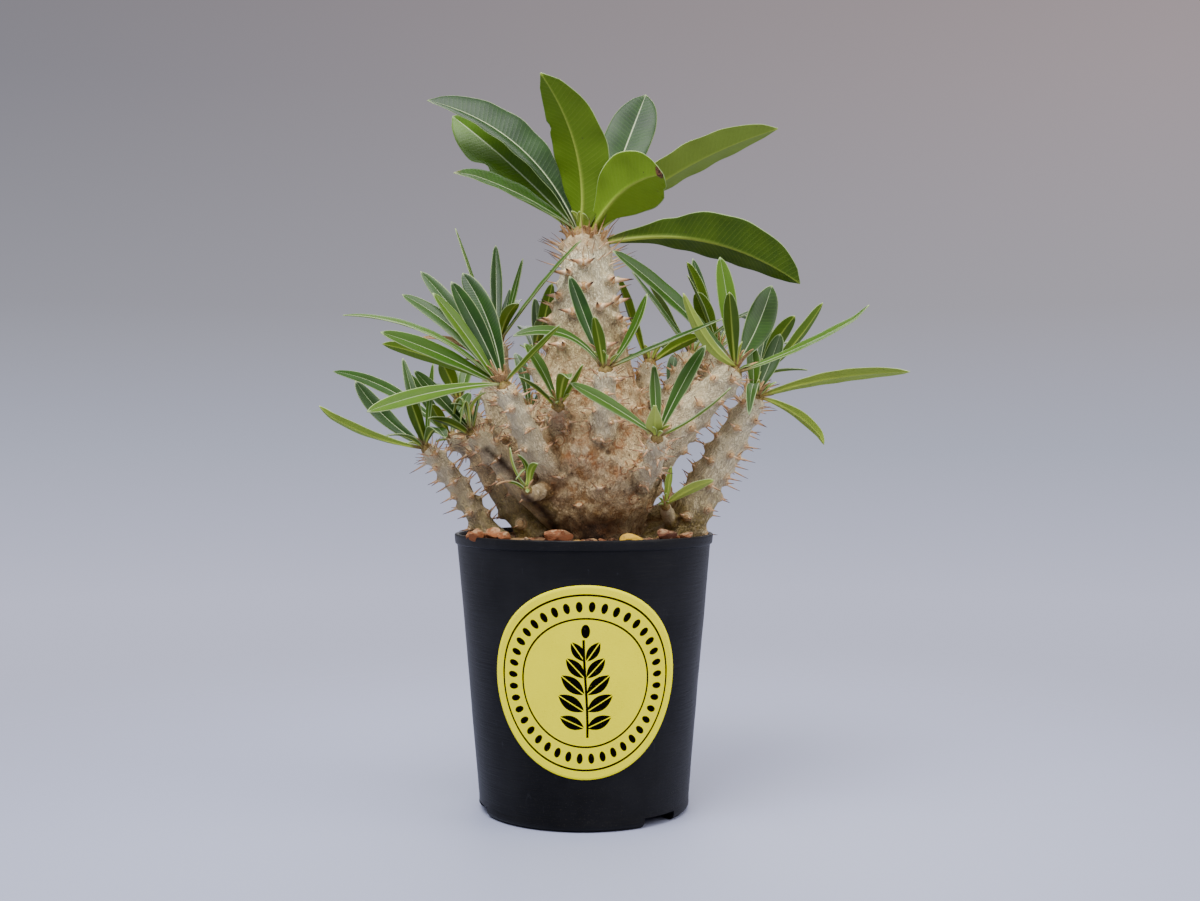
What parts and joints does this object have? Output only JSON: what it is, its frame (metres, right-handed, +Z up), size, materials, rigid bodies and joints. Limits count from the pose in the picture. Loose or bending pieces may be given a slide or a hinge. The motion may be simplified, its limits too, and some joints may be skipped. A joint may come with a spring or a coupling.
{
  "type": "potted pachypodium",
  "caption": "Spiny swollen-trunked succulent with many short branches and crowns of narrow leaves, in a tapered round nursery pot with a round sticker on its front.",
  "frame": {"origin": "centre of the pot's foot, on the ground under the middle of the whole plant's box", "axes": "+Z up along the pot's axis; -Y is the front, where the sticker is; +X to the right seen from the front"},
  "size_m": [0.2688, 0.1975, 0.341],
  "materials": {
    "pot": "satin black moulded plastic",
    "label": "yellow printed film sticker",
    "soil": "loose bark and grit potting mix",
    "wood": "grey-brown wrinkled bark with thorns",
    "leaf": "leathery green with a pale midrib"
  },
  "bodies": {
    "root": {"pot": "pot", "label": "label", "soil": "soil", "wood": "wood", "leaves_top": "leaf", "leaves_far_left": "leaf", "leaves_left": "leaf", "leaves_left_inner": "leaf", "leaves_left_front": "leaf", "leaves_small_front": "leaf", "leaves_left_back": "leaf", "leaves_inner_back": "leaf", "leaves_middle_front": "leaf", "leaves_middle_back": "leaf", "leaves_right_inner": "leaf", "leaves_right_back": "leaf", "leaves_right": "leaf", "leaves_right_low_back": "leaf", "leaves_far_right": "leaf", "leaves_low_front": "leaf", "leaves_left_low_back": "leaf", "leaves_back": "leaf", "leaves_back_left": "leaf", "leaves_back_right": "leaf", "leaves_sprout_right": "leaf", "leaves_sprout_left": "leaf"}
  },
  "joints": []
}
